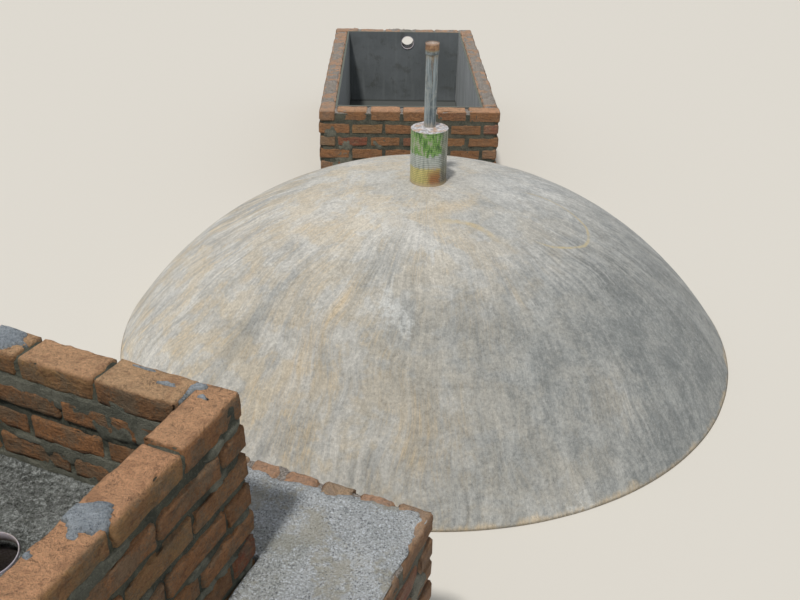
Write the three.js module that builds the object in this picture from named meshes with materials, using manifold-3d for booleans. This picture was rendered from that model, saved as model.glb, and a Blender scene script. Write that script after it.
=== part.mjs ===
// Fixed-dome biogas digester of about 10 cubic metres, from ground level up.
// Millimetres, +Z up, ground at z = 0, origin at the bottom centre of its box.
// +Y runs from the dome to the outlet tank behind it. The inlet tank stands in
// front of the dome, to the left, on a brick plinth turned by INLET_TURN.
import * as THREE from 'three';
import { mergeVertices } from 'three/addons/utils/BufferGeometryUtils.js';
import Module from 'manifold-3d';

// Brickwork: walls are half a brick thick
const WALL = 114;
const COURSE = 92;

// Clearance that touching pieces keep, and how far a cutting body passes what it cuts
const SEAT = 0.3;
const CUT_PAST = 50;

// Dome: a cap of a sphere, cast as one shell and plastered outside
const DOME_SPHERE_RADIUS = 2050;
const DOME_RISE = 850;
const DOME_SHELL = 100;
const DOME_SIDES = 64;
const DOME_ARC_STEPS = 14;
const CROWN_SEAT_RADIUS = 105;

// Turret: an empty round tin filled with cement round the gas pipe
const TIN_RADIUS = 95;
const TIN_HEIGHT = 283;
const TIN_SHEET = 1;
const TIN_BEAD = 3;
const CEMENT_CROWN = 10;
const TURRET_SIDES = 48;

// Gas pipe: two-inch galvanised pipe with a rusty socket on its end
const PIPE_RADIUS = 30.15;
const PIPE_WALL = 3.6;
const PIPE_TOP = 1554;
const PIPE_BELOW_SHELL = 40;
const SOCKET_RADIUS = 34;
const SOCKET_LENGTH = 55;
const SOCKET_STEP = 3;
const PIPE_SIDES = 32;

// Outlet tank
const OUTLET_WIDTH = 1270;
const OUTLET_LENGTH = 2460;
const OUTLET_TOP = 682;
const OUTLET_FRONT_Y = 1640;
const OUTLET_X = -55;
const OUTLET_FLOOR = 30;
const LINING = 15;
const OVERFLOW_X = -20;
const OVERFLOW_DEPTH = 95;
const OVERFLOW_RADIUS = 60;
const OVERFLOW_WALL = 4;
const OVERFLOW_INSIDE = 6;
const OVERFLOW_OUTSIDE = 25;
const OVERFLOW_SIDES = 32;

// Inlet tank, measured in its own turned frame from its back right corner
const INLET_TURN = -24;
const INLET_CORNER_X = -558;
const INLET_CORNER_Y = -2552;
const INLET_WIDTH = 1000;
const INLET_LENGTH = 1070;
const PLATFORM_TOP = 795;
const INLET_TOP = PLATFORM_TOP + 6 * COURSE;
const INLET_FLOOR = INLET_TOP - 4 * COURSE;
const FLOOR_SCREED = 50;

// Inlet pipe: it leans towards the digester on its way down
const INLET_PIPE_RADIUS = 80;
const INLET_PIPE_WALL = 4;
const INLET_PIPE_X = -500;
const INLET_PIPE_Y = -414;
const INLET_PIPE_LEAN = 180;
const INLET_PIPE_LIP = 8;
const INLET_PIPE_SIDES = 40;

// Plinth round the inlet tank
const PLINTH_MARGIN = 372;
const PLINTH_SCREED = 45;
const PLINTH_BRICK_STEP = 10;

// Colours, roughness and metalness
const brick = () => new THREE.MeshStandardMaterial({ color: 0xa9663f, roughness: 0.95 });
const plaster = () => new THREE.MeshStandardMaterial({ color: 0xa3a199, roughness: 0.9 });
const darkPlaster = () => new THREE.MeshStandardMaterial({ color: 0x5b5f60, roughness: 0.85 });
const screed = () => new THREE.MeshStandardMaterial({ color: 0x90989a, roughness: 0.95 });
const rubble = () => new THREE.MeshStandardMaterial({ color: 0x8a7760, roughness: 1 });
const cement = () => new THREE.MeshStandardMaterial({ color: 0xc9c2b6, roughness: 0.95 });
const printedTin = () => new THREE.MeshStandardMaterial({ color: 0x7d9a57, roughness: 0.5, metalness: 0.3 });
const zinc = () => new THREE.MeshStandardMaterial({ color: 0x8b9492, roughness: 0.55, metalness: 0.7 });
const rust = () => new THREE.MeshStandardMaterial({ color: 0x9c5a32, roughness: 0.85, metalness: 0.3 });
const plastic = () => new THREE.MeshStandardMaterial({ color: 0xd6cfdc, roughness: 0.5 });

const wasm = await Module();
wasm.setup();

// Geometry as a solid that can be cut
function toSolid(geometry) {
  const bare = geometry.clone();
  bare.deleteAttribute('normal');
  bare.deleteAttribute('uv');
  const merged = mergeVertices(bare, 1e-3);
  const vertProperties = new Float32Array(merged.attributes.position.array);
  const triVerts = new Uint32Array(merged.index.array);
  return new wasm.Manifold(new wasm.Mesh({ numProp: 3, vertProperties, triVerts }));
}

// A cut solid as geometry again
function toGeometry(solid) {
  const mesh = solid.getMesh();
  const geometry = new THREE.BufferGeometry();
  geometry.setAttribute('position', new THREE.BufferAttribute(mesh.vertProperties, 3));
  geometry.setIndex(new THREE.BufferAttribute(mesh.triVerts, 1));
  geometry.computeVertexNormals();
  return geometry;
}

// One named piece in a group
function addPiece(group, name, geometry, material) {
  const mesh = new THREE.Mesh(geometry, material);
  mesh.name = name;
  group.add(mesh);
}

// A box between two opposite corners
function block(low, high) {
  const [dx, dy, dz] = high.map((value, axis) => value - low[axis]);
  const geometry = new THREE.BoxGeometry(dx, dy, dz);
  geometry.translate(low[0] + dx / 2, low[1] + dy / 2, low[2] + dz / 2);
  return geometry;
}

// A ring or tube round the z axis, from a closed outline of [radius, height] points
function turned(outline, sides) {
  const points = outline.map(([radius, height]) => new THREE.Vector2(radius, height));
  points.push(points[0].clone());
  const geometry = new THREE.LatheGeometry(points, sides);
  geometry.rotateX(Math.PI / 2);
  return geometry;
}

function tube(outerRadius, innerRadius, bottom, top, sides) {
  const outline = [[innerRadius, bottom], [outerRadius, bottom], [outerRadius, top], [innerRadius, top]];
  return turned(outline, sides);
}

// An upright slab in the xz plane with a round hole, from y = back to y = back + depth
function slabWithHole(low, high, hole, back, depth) {
  const outline = new THREE.Shape([
    new THREE.Vector2(low[0], low[1]),
    new THREE.Vector2(high[0], low[1]),
    new THREE.Vector2(high[0], high[1]),
    new THREE.Vector2(low[0], high[1]),
  ]);
  outline.holes.push(new THREE.Path().absarc(hole.x, hole.z, hole.radius, 0, 2 * Math.PI, true));
  const geometry = new THREE.ExtrudeGeometry(outline, {
    depth, bevelEnabled: false, curveSegments: OVERFLOW_SIDES,
  });
  geometry.rotateX(Math.PI / 2);
  geometry.translate(0, back + depth, 0);
  return geometry;
}

// Four slabs that close a rectangle: back and front run through, left and right lie between
function frameOfFour(group, prefix, suffix, outer, thickness, bottom, top, material) {
  const { left, right, front, back } = outer;
  const sideFront = front + thickness + SEAT;
  const sideBack = back - thickness - SEAT;
  const slabs = {
    back: block([left, back - thickness, bottom], [right, back, top]),
    front: block([left, front, bottom], [right, front + thickness, top]),
    left: block([left, sideFront, bottom], [left + thickness, sideBack, top]),
    right: block([right - thickness, sideFront, bottom], [right, sideBack, top]),
  };
  Object.entries(slabs).forEach(([side, slab]) => {
    addPiece(group, `${prefix}${side}${suffix}`, slab, material());
  });
}

// A rectangle made smaller on all sides
function inset(outer, distance) {
  return {
    left: outer.left + distance,
    right: outer.right - distance,
    front: outer.front + distance,
    back: outer.back - distance,
  };
}

// Points of a meridian of the dome from its crown seat down to the ground
function domeArc(radius, sphereRadius) {
  const centre = DOME_RISE - DOME_SPHERE_RADIUS;
  const start = Math.asin(radius / sphereRadius);
  const end = Math.acos(-centre / sphereRadius);
  const points = [];
  for (let step = 0; step <= DOME_ARC_STEPS; step += 1) {
    const angle = start + ((end - start) * step) / DOME_ARC_STEPS;
    const height = step === DOME_ARC_STEPS ? 0 : centre + sphereRadius * Math.cos(angle);
    points.push([sphereRadius * Math.sin(angle), height]);
  }
  return points;
}

const crownSeatHeight = domeArc(CROWN_SEAT_RADIUS, DOME_SPHERE_RADIUS)[0][1];

// Dome shell, open underneath, with a hole for the gas pipe at the crown
function domeShell() {
  const hole = PIPE_RADIUS + SEAT;
  const outer = domeArc(CROWN_SEAT_RADIUS, DOME_SPHERE_RADIUS);
  const inner = domeArc(CROWN_SEAT_RADIUS, DOME_SPHERE_RADIUS - DOME_SHELL);
  const outline = [[hole, inner[0][1]], ...inner, ...outer.reverse(), [hole, crownSeatHeight]];
  return turned(outline, DOME_SIDES);
}

// The space that the dome takes, a little larger, to trim what is built against it
function domeTrimmer() {
  const outer = domeArc(CROWN_SEAT_RADIUS, DOME_SPHERE_RADIUS + SEAT);
  const footRadius = outer[outer.length - 1][0];
  const outline = [...outer, [footRadius, -CUT_PAST], [0, -CUT_PAST], [0, outer[0][1]]].reverse();
  return turned(outline, DOME_SIDES);
}

// Turret: thin tin with a bead at its rim and foot, and the cement that fills it
function turretTin() {
  const foot = crownSeatHeight + SEAT;
  const rim = foot + TIN_HEIGHT;
  const inner = TIN_RADIUS - TIN_SHEET;
  const bead = TIN_RADIUS + TIN_SHEET;
  return turned([
    [inner, foot], [bead, foot], [bead, foot + TIN_BEAD], [TIN_RADIUS, foot + 2 * TIN_BEAD],
    [TIN_RADIUS, rim - 2 * TIN_BEAD], [bead, rim - TIN_BEAD], [bead, rim], [inner, rim],
  ], TURRET_SIDES);
}

function turretCement() {
  const foot = crownSeatHeight + SEAT;
  const rim = foot + TIN_HEIGHT;
  const inner = PIPE_RADIUS + SEAT;
  const outer = TIN_RADIUS - TIN_SHEET - SEAT;
  return turned([
    [inner, foot], [outer, foot], [outer, rim - TIN_BEAD], [inner, rim + CEMENT_CROWN],
  ], TURRET_SIDES);
}

function addDome(plant) {
  const pipeBottom = DOME_RISE - DOME_SHELL - PIPE_BELOW_SHELL;
  const socketTop = PIPE_TOP + SOCKET_STEP;
  const socketBottom = socketTop - SOCKET_LENGTH;
  const bore = PIPE_RADIUS - PIPE_WALL;
  addPiece(plant, 'dome_shell', domeShell(), plaster());
  addPiece(plant, 'turret_tin', turretTin(), printedTin());
  addPiece(plant, 'turret_cement', turretCement(), cement());
  addPiece(plant, 'gas_pipe', tube(PIPE_RADIUS, bore, pipeBottom, PIPE_TOP, PIPE_SIDES), zinc());
  const socket = tube(SOCKET_RADIUS, PIPE_RADIUS + SEAT, socketBottom, socketTop, PIPE_SIDES);
  addPiece(plant, 'gas_pipe_socket', socket, rust());
}

// Outlet tank: four brick walls, a floor, a plaster lining and the overflow sleeve
function addOutletTank(plant) {
  const outer = {
    left: OUTLET_X - OUTLET_WIDTH / 2,
    right: OUTLET_X + OUTLET_WIDTH / 2,
    front: OUTLET_FRONT_Y,
    back: OUTLET_FRONT_Y + OUTLET_LENGTH,
  };
  const room = inset(outer, WALL + SEAT);
  const hole = { x: OVERFLOW_X, z: OUTLET_TOP - OVERFLOW_DEPTH, radius: OVERFLOW_RADIUS + SEAT };
  const sideFront = outer.front + WALL + SEAT;
  const sideBack = outer.back - WALL - SEAT;
  const frontBlock = block([outer.left, outer.front, 0], [outer.right, outer.front + WALL, OUTLET_TOP]);
  const frontWall = toSolid(frontBlock).subtract(toSolid(domeTrimmer()));
  addPiece(plant, 'outlet_front_wall', toGeometry(frontWall), brick());
  addPiece(plant, 'outlet_back_wall',
    slabWithHole([outer.left, 0], [outer.right, OUTLET_TOP], hole, outer.back - WALL, WALL), brick());
  addPiece(plant, 'outlet_left_wall',
    block([outer.left, sideFront, 0], [outer.left + WALL, sideBack, OUTLET_TOP]), brick());
  addPiece(plant, 'outlet_right_wall',
    block([outer.right - WALL, sideFront, 0], [outer.right, sideBack, OUTLET_TOP]), brick());
  addPiece(plant, 'outlet_floor',
    block([room.left, room.front, 0], [room.right, room.back, OUTLET_FLOOR]), darkPlaster());

  const foot = OUTLET_FLOOR + SEAT;
  const liningFront = room.front + LINING + SEAT;
  const liningBack = room.back - LINING - SEAT;
  addPiece(plant, 'outlet_front_lining',
    block([room.left, room.front, foot], [room.right, room.front + LINING, OUTLET_TOP]), darkPlaster());
  const backLining = slabWithHole([room.left, foot], [room.right, OUTLET_TOP], hole, room.back - LINING, LINING);
  addPiece(plant, 'outlet_back_lining', backLining, darkPlaster());
  addPiece(plant, 'outlet_left_lining',
    block([room.left, liningFront, foot], [room.left + LINING, liningBack, OUTLET_TOP]), darkPlaster());
  addPiece(plant, 'outlet_right_lining',
    block([room.right - LINING, liningFront, foot], [room.right, liningBack, OUTLET_TOP]), darkPlaster());

  const sleeveStart = room.back - LINING - OVERFLOW_INSIDE;
  const sleeveLength = outer.back + OVERFLOW_OUTSIDE - sleeveStart;
  const sleeve = tube(OVERFLOW_RADIUS, OVERFLOW_RADIUS - OVERFLOW_WALL, 0, sleeveLength, OVERFLOW_SIDES);
  sleeve.rotateX(-Math.PI / 2);
  sleeve.translate(hole.x, sleeveStart, hole.z);
  addPiece(plant, 'overflow_sleeve', sleeve, plastic());
}

// The inlet pipe's axis moves towards the digester as it goes down
function leanAt(height) {
  return (INLET_PIPE_LEAN * (INLET_FLOOR - height)) / INLET_FLOOR;
}

// A round tube with level ends whose axis leans in the yz plane
function leaningTube(outerRadius, innerRadius, bottom, top) {
  const slope = INLET_PIPE_LEAN / INLET_FLOOR;
  const stretch = Math.sqrt(1 + slope * slope);
  const outline = innerRadius > 0
    ? [[innerRadius, bottom], [outerRadius, bottom], [outerRadius, top], [innerRadius, top]]
    : [[0, bottom], [outerRadius, bottom], [outerRadius, top], [0, top]];
  const geometry = turned(outline, INLET_PIPE_SIDES);
  const lean = new THREE.Matrix4().set(
    1, 0, 0, INLET_PIPE_X,
    0, stretch, -slope, INLET_PIPE_Y + INLET_PIPE_LEAN,
    0, 0, 1, 0,
    0, 0, 0, 1,
  );
  return geometry.applyMatrix4(lean);
}

// A wedge across the inlet pipe's width between a straight wall face and the leaning pipe
function bedWedge(wallY, pipeSide, bottom, top) {
  const slope = INLET_PIPE_LEAN / INLET_FLOOR;
  const reach = (INLET_PIPE_RADIUS + SEAT) * Math.sqrt(1 + slope * slope) + SEAT;
  const faceAt = (height) => INLET_PIPE_Y + leanAt(height) + pipeSide * reach;
  const outline = [
    new THREE.Vector2(wallY, bottom), new THREE.Vector2(faceAt(bottom), bottom),
    new THREE.Vector2(faceAt(top), top), new THREE.Vector2(wallY, top),
  ];
  const width = 2 * INLET_PIPE_RADIUS;
  const geometry = new THREE.ExtrudeGeometry(new THREE.Shape(outline), { depth: width, bevelEnabled: false });
  geometry.rotateX(Math.PI / 2);
  geometry.rotateZ(Math.PI / 2);
  geometry.translate(INLET_PIPE_X - width / 2, 0, 0);
  return geometry;
}

// Inlet tank: brick walls from the ground up, a packed bed, a floor screed and the pipe
function addInletTank(inlet) {
  const outer = { left: -INLET_WIDTH, right: 0, front: -INLET_LENGTH, back: 0 };
  const room = inset(outer, WALL + SEAT);
  const bedTop = INLET_FLOOR - FLOOR_SCREED;
  const shaftLeft = INLET_PIPE_X - INLET_PIPE_RADIUS - SEAT;
  const shaftRight = INLET_PIPE_X + INLET_PIPE_RADIUS + SEAT;
  frameOfFour(inlet, 'inlet_', '_wall', outer, WALL, 0, INLET_TOP, brick);
  addPiece(inlet, 'inlet_bed_left',
    block([room.left, room.front, 0], [shaftLeft, room.back, bedTop]), rubble());
  addPiece(inlet, 'inlet_bed_right',
    block([shaftRight, room.front, 0], [room.right, room.back, bedTop]), rubble());
  addPiece(inlet, 'inlet_bed_back', bedWedge(room.back, 1, 0, bedTop), rubble());
  addPiece(inlet, 'inlet_bed_front', bedWedge(room.front, -1, 0, bedTop), rubble());

  const screedFoot = bedTop + SEAT;
  const slab = toSolid(block([room.left, room.front, screedFoot], [room.right, room.back, INLET_FLOOR]));
  const pipeSpace = leaningTube(INLET_PIPE_RADIUS + SEAT, 0, bedTop - CUT_PAST, INLET_FLOOR + CUT_PAST);
  addPiece(inlet, 'inlet_floor', toGeometry(slab.subtract(toSolid(pipeSpace))), screed());
  const bore = INLET_PIPE_RADIUS - INLET_PIPE_WALL;
  addPiece(inlet, 'inlet_pipe',
    leaningTube(INLET_PIPE_RADIUS, bore, 0, INLET_FLOOR + INLET_PIPE_LIP), plastic());
}

// Plinth: brick edge walls, packed fill and a rough screed round the tank
function addPlinth(inlet) {
  const outer = {
    left: -INLET_WIDTH - PLINTH_MARGIN,
    right: PLINTH_MARGIN,
    front: -INLET_LENGTH - PLINTH_MARGIN,
    back: PLINTH_MARGIN,
  };
  const infill = inset(outer, WALL + SEAT);
  const infillWidth = PLINTH_MARGIN - WALL - 2 * SEAT;
  const fillTop = PLATFORM_TOP - PLINTH_SCREED;
  frameOfFour(inlet, 'plinth_', '_wall', outer, WALL, 0, PLATFORM_TOP - PLINTH_BRICK_STEP, brick);
  frameOfFour(inlet, 'plinth_', '_fill', infill, infillWidth, 0, fillTop, rubble);
  frameOfFour(inlet, 'plinth_', '_screed', infill, infillWidth, fillTop + SEAT, PLATFORM_TOP, screed);
}

const plant = new THREE.Group();
addDome(plant);
addOutletTank(plant);

const inlet = new THREE.Group();
inlet.position.set(INLET_CORNER_X, INLET_CORNER_Y, 0);
inlet.rotation.z = THREE.MathUtils.degToRad(INLET_TURN);
addInletTank(inlet);
addPlinth(inlet);
plant.add(inlet);

// The part's origin is the bottom centre of its box
const digester = new THREE.Group();
const centre = new THREE.Box3().setFromObject(plant, true).getCenter(new THREE.Vector3());
plant.position.set(-centre.x, -centre.y, 0);
digester.add(plant);

export default digester;
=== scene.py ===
import math

import bpy
import numpy as np
from mathutils import Matrix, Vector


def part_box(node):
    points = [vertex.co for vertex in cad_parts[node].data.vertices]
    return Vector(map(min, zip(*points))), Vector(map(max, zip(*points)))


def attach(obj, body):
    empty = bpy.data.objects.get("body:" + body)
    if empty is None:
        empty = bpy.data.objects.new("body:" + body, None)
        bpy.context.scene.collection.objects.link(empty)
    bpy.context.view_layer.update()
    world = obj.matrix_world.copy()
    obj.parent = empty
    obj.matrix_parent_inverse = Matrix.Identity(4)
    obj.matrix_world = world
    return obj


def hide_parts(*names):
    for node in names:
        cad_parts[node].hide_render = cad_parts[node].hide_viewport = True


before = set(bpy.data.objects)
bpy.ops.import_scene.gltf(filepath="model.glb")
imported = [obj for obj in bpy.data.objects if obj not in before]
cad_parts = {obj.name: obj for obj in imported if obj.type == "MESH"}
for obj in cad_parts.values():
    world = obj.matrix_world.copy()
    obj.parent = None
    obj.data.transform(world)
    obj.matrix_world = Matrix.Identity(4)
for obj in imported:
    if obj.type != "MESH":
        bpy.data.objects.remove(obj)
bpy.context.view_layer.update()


# Dome
# A shallow dome of concrete cast over an earth form and plastered by hand. It was brushed from the
# crown down while wet, and cement wash, sand and dust have dried on it in streaks.

def cloud(points, cell, seed):
    """Soft random heights from -1 to 1: a random number on each corner of a grid of cubes of side
    cell, blended between the eight corners round a point with weights 3t^2 - 2t^3."""
    places = points / cell + 0.37 * seed
    corner = np.floor(places).astype(np.int64)
    share = places - corner
    share = share * share * (3 - 2 * share)
    height = np.zeros(places.shape[:-1])
    for step in np.ndindex(2, 2, 2):
        key = ((corner + step) * (73856093, 19349663, 83492791)).sum(-1) + 7919 * seed
        key = ((key & 0xffffffff) ^ (key >> 13 & 0x7ffff)) * 1274126177
        key = (key >> 9 ^ key >> 21) & 0xffff
        height += (key / 32767.5 - 1) * np.where(step, share, 1 - share).prod(-1)
    return height


def rough(points, cell, seed):
    """Three clouds on each other, each with half the cell and half the height of the one before."""
    coarse = cloud(points, cell, seed)
    return (coarse + cloud(points, cell / 2, seed + 1) / 2 + cloud(points, cell / 4, seed + 2) / 4) / 1.4


def ease(value, low, high):
    """0 below low, 1 above high, and the S curve 3t^2 - 2t^3 between."""
    share = np.clip((value - low) / (high - low), 0, 1)
    return share * share * (3 - 2 * share)


def new_piece(name, points, faces, painted, facing=None):
    """A smooth mesh of four-cornered faces, with the painted numbers or vectors kept at its points.
    facing, if given, is the direction in which each point is shaded."""
    mesh = bpy.data.meshes.new(name)
    mesh.from_pydata(points, [], faces, shade_flat=False)
    for key, values in painted.items():
        values = np.asarray(values, np.float32)
        kind, field = ("FLOAT_VECTOR", "vector") if values.shape[-1] == 3 else ("FLOAT", "value")
        mesh.attributes.new(key, kind, "POINT").data.foreach_set(field, values.ravel())
    if facing is not None:
        mesh.normals_split_custom_set_from_vertices(facing.reshape(-1, 3).tolist())
    piece = bpy.data.objects.new(name, mesh)
    bpy.context.scene.collection.objects.link(piece)
    return piece


def grid_faces(number):
    """Faces between the neighbours in a grid of point numbers. They face along row step x column step."""
    corners = number[:-1, :-1], number[1:, :-1], number[1:, 1:], number[:-1, 1:]
    return np.stack(corners, -1).reshape(-1, 4)


def closed_grid(name, points, **painted):
    """A ring-shaped skin: rows and columns of points, with the last row and column joined to the first.
    A painted number holds for the whole skin, for a row, or for a point."""
    rows, columns = points.shape[:2]
    number = np.pad(np.arange(rows * columns).reshape(rows, columns), ((0, 1), (0, 1)), mode="wrap")
    for key, values in painted.items():
        values = values + np.zeros((rows, columns, *np.shape(values)[2:]))
        painted[key] = values.reshape(rows * columns, -1).squeeze()
    return new_piece(name, points.reshape(-1, 3), grid_faces(number), painted)


def part_way(start, end, count, bend=1.0):
    """Numbers from start to end without the last, spaced by t to the power bend."""
    return start + (end - start) * (np.arange(count) / count) ** bend


def shade(red, green, blue):
    """A colour as it looks on a screen, 0 to 255, in the linear numbers that a material takes."""
    screen = np.array([red, green, blue]) / 255
    linear = np.where(screen <= 0.04045, screen / 12.92, ((screen + 0.055) / 1.055) ** 2.4)
    return (*linear, 1.0)


class Signal:
    """What a shader node puts out: a number, colour or place that changes over the surface. With a
    key it is another output of the same node. A sign of arithmetic on numbers adds a node."""

    def __init__(self, socket):
        self.socket = socket

    def __getitem__(self, key):
        return Signal(self.socket.node.outputs[key])

    def __add__(self, other):
        return reckon("ADD", self, other)

    def __mul__(self, other):
        return reckon("MULTIPLY", self, other)

    def __sub__(self, other):
        return reckon("SUBTRACT", self, other)

    def __rsub__(self, other):
        return reckon("SUBTRACT", other, self)

    __radd__ = __add__
    __rmul__ = __mul__


def add(kind, inputs, **settings):
    """A node in tree, the material or effect in hand. Each input is a value or a Signal."""
    made = tree.nodes.new(kind)
    for key, value in settings.items():
        setattr(made, key, value)
    for key, value in inputs.items():
        if isinstance(value, Signal):
            tree.links.new(value.socket, made.inputs[key])
        else:
            made.inputs[key].default_value = value
    return Signal(made.outputs[0]) if made.outputs else None


def mixed(share, first, second):
    """first where share is 0, second where it is 1. Each is a Signal or a colour on the screen."""
    first, second = [side if isinstance(side, Signal) else shade(*side) for side in (first, second)]
    return add("ShaderNodeMix", {0: share, 6: first, 7: second}, data_type="RGBA")[2]


def coats(colour, *layers):
    """A colour under one coat after another. Each coat is its share, 0 to 1, and its own colour."""
    for share, coat in layers:
        colour = mixed(share, colour, coat)
    return colour


def reckon(kind, *numbers):
    """One step of arithmetic on numbers."""
    return add("ShaderNodeMath", dict(enumerate(numbers)), operation=kind)


def swing(value, gain):
    """A number that swings by half of gain to both sides of zero as value goes from 0 to 1."""
    return reckon("MULTIPLY_ADD", value, gain, -gain / 2)


def scaled(colour, extra):
    """A colour made lighter or darker: times one plus extra."""
    return add("ShaderNodeVectorMath", {0: colour, "Scale": extra + 1.0}, operation="SCALE")


def ramp(value, low, high, start=0.0, end=1.0):
    """value eased from start to end as it goes from low to high."""
    inputs = {"Value": value, "From Min": low, "From Max": high, "To Min": start, "To Max": end}
    return add("ShaderNodeMapRange", inputs, interpolation_type="SMOOTHSTEP")


def kept(key):
    """A number that is kept at the points of the mesh."""
    return add("ShaderNodeAttribute", {}, attribute_name=key)["Fac"]


def noise(where, scale, detail=3.0, roughness=0.55, distortion=0.0):
    """Cloudy noise, 0 to 1."""
    return add("ShaderNodeTexNoise", {"Vector": where, "Scale": scale, "Detail": detail,
                                      "Roughness": roughness, "Distortion": distortion})


def squeezed(where, x, y, z):
    """Places times x, y and z, which draws a pattern out along a side that has a number below 1."""
    return add("ShaderNodeMapping", {"Vector": where, "Scale": (x, y, z)})


def new_effect(name, inputs):
    """An empty node group with named inputs, for use in more than one material."""
    tree = bpy.data.node_groups.new(name, "ShaderNodeTree")
    for key, value in inputs.items():
        kind = "NodeSocketFloat" if isinstance(value, float) else "NodeSocketVector"
        tree.interface.new_socket(key, in_out="INPUT", socket_type=kind).default_value = value
    return tree, Signal(tree.nodes.new("NodeGroupInput").outputs[0])


def put_out(results):
    """Gives the effect in hand its named outputs."""
    for key in results:
        tree.interface.new_socket(key, in_out="OUTPUT", socket_type="NodeSocketFloat")
    add("NodeGroupOutput", results)


def new_material(name, roughness, metallic=0.0):
    """A material with its shader, its Object coordinates and its fixed roughness and metalness."""
    material = bpy.data.materials.new(name)
    material.use_nodes = True
    tree = material.node_tree
    shader = tree.nodes["Principled BSDF"]
    shader.inputs["Roughness"].default_value = roughness
    shader.inputs["Metallic"].default_value = metallic
    return material, tree, shader, Signal(tree.nodes.new("ShaderNodeTexCoord").outputs["Object"])


def join(signal, key):
    """Joins a Signal to an input of the shader of the material in hand."""
    tree.links.new(signal.socket, shader.inputs[key])


def finish_material(colour, height, distance):
    """Joins the colour and the bump height, in units of distance in metres, to the shader."""
    join(colour, "Base Color")
    join(add("ShaderNodeBump", {"Height": height, "Distance": distance, "Strength": 1.0}), "Normal")


# Sand and cement grain: fine noise for the paste, round cells for the sand grains and pores
tree, given = new_effect("grain", {"Vector": (0.0, 0.0, 0.0), "Scale": 200.0})
paste = noise(given["Vector"], given["Scale"], 5.0, 0.7)
cells = add("ShaderNodeTexVoronoi", {"Vector": given["Vector"], "Scale": given["Scale"]})["Distance"]
spread = noise(given["Vector"], 0.17 * given["Scale"], 2.0)
pores = ramp(cells, 0.16, 0.30, 1.0, 0.0) * ramp(spread, 0.52, 0.60)
pale = ramp(cells, 0.18, 0.34, 1.0, 0.0) * ramp(spread, 0.47, 0.40)
put_out({"Height": paste + 0.35 * pale - 0.5 * pores, "Pale": pale, "Pores": pores})
grain = tree


def grains(where, scale):
    """The grain effect in a material: its Height, its Pale grains and its Pores."""
    return add("ShaderNodeGroup", {"Vector": where, "Scale": scale}, node_tree=grain)


# Patches: cloudy areas with ragged edges, for dust, stains, worn paint and films of mortar
tree, given = new_effect("patches", {"Vector": (0.0, 0.0, 0.0), "Scale": 5.0, "Threshold": 0.5,
                                     "Softness": 0.05, "Ragged": 0.3})
broad = noise(given["Vector"], given["Scale"], 3.0, 0.55, 0.4)
fine = noise(given["Vector"], 11.0 * given["Scale"], 4.0, 0.65)
level = broad + (fine - 0.5) * given["Ragged"]
middle, softness = given["Threshold"], given["Softness"]
put_out({"Mask": ramp(level, middle - softness, middle + softness)})
patches = tree


def torn(where, scale, threshold, softness, ragged):
    """The patches effect in a material: 1 inside the patches and 0 outside."""
    return add("ShaderNodeGroup", {"Vector": where, "Scale": scale, "Threshold": threshold,
                                   "Softness": softness, "Ragged": ragged}, node_tree=patches)


dome_low, dome_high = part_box("dome_shell")
DOME_X = (dome_low.x + dome_high.x) / 2
DOME_Y = (dome_low.y + dome_high.y) / 2
DOME_RADIUS = 2.05
DOME_RISE = 0.85
DOME_SHELL = 0.10
DOME_SPOKES = 320
CROWN_SEAT = 0.105
PIPE_HOLE = 0.0305
SEAT_STEPS, OUTER_STEPS, INNER_STEPS = 5, 130, 24

# The shell's outline as radius and height: from the pipe hole over the flat crown seat, down the
# outer arc of the sphere, across the foot and up the inner arc
centre = DOME_RISE - DOME_RADIUS
inner_radius = DOME_RADIUS - DOME_SHELL
seat = np.linspace(PIPE_HOLE, CROWN_SEAT, SEAT_STEPS + 1)[:-1]
foot_angle, top_angle = math.acos(-centre / DOME_RADIUS), math.asin(CROWN_SEAT / DOME_RADIUS)
outer_angle = np.linspace(top_angle, foot_angle, OUTER_STEPS)
foot_angle, top_angle = math.acos(-centre / inner_radius), math.asin(CROWN_SEAT / inner_radius)
inner_angle = np.linspace(foot_angle, top_angle, INNER_STEPS)
sphere = np.repeat([DOME_RADIUS, inner_radius], [OUTER_STEPS, INNER_STEPS])
turn = np.append(outer_angle, inner_angle)
radius = np.concatenate([seat, sphere * np.sin(turn), [PIPE_HOLE]])
height = np.maximum(np.pad(centre + sphere * np.cos(turn), (SEAT_STEPS, 1), mode="edge"), 0)
outside = np.arange(len(radius)) < SEAT_STEPS + OUTER_STEPS
spoke = 2 * np.pi * np.arange(DOME_SPOKES) / DOME_SPOKES
ray = np.stack([np.cos(spoke), np.sin(spoke), 0 * spoke], -1)
shell = radius[:, None, None] * ray + height[:, None, None] * [0, 0, 1.0]

# Trowelled lumps, pushed along the sphere's radius and never past the shell's own foot line
outward = (shell - [0, 0, centre]) / DOME_RADIUS
lumps = 0.0035 * rough(shell, 0.55, 3) + 0.0012 * rough(shell, 0.14, 9) - 0.0015
lumps = lumps * (outside * ease(radius, CROWN_SEAT, 0.22))[:, None]
lumps = np.where(height[:, None] < 0.02, np.minimum(lumps, 0), lumps)
raised = outward * lumps[..., None]
raised[..., 2] *= (height > 0)[:, None]
shell = shell + raised

# Where the brush left darker wash, sand and lime, as soft patches of bearing and radius. The right
# side is darkest, from darker wash and from painted shade on the side turned from the light, and
# this thins out from there to both sides and to the crown.
bearing = np.degrees(np.arctan2(shell[..., 1], shell[..., 0]))
reach = np.hypot(shell[..., 0], shell[..., 1])
turned = (bearing + 220) % 360 - 180
dark = np.exp(-(turned / np.where(turned < 0, 73, 62)) ** 2) * ease(reach, 0.36, 1.26)


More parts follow.
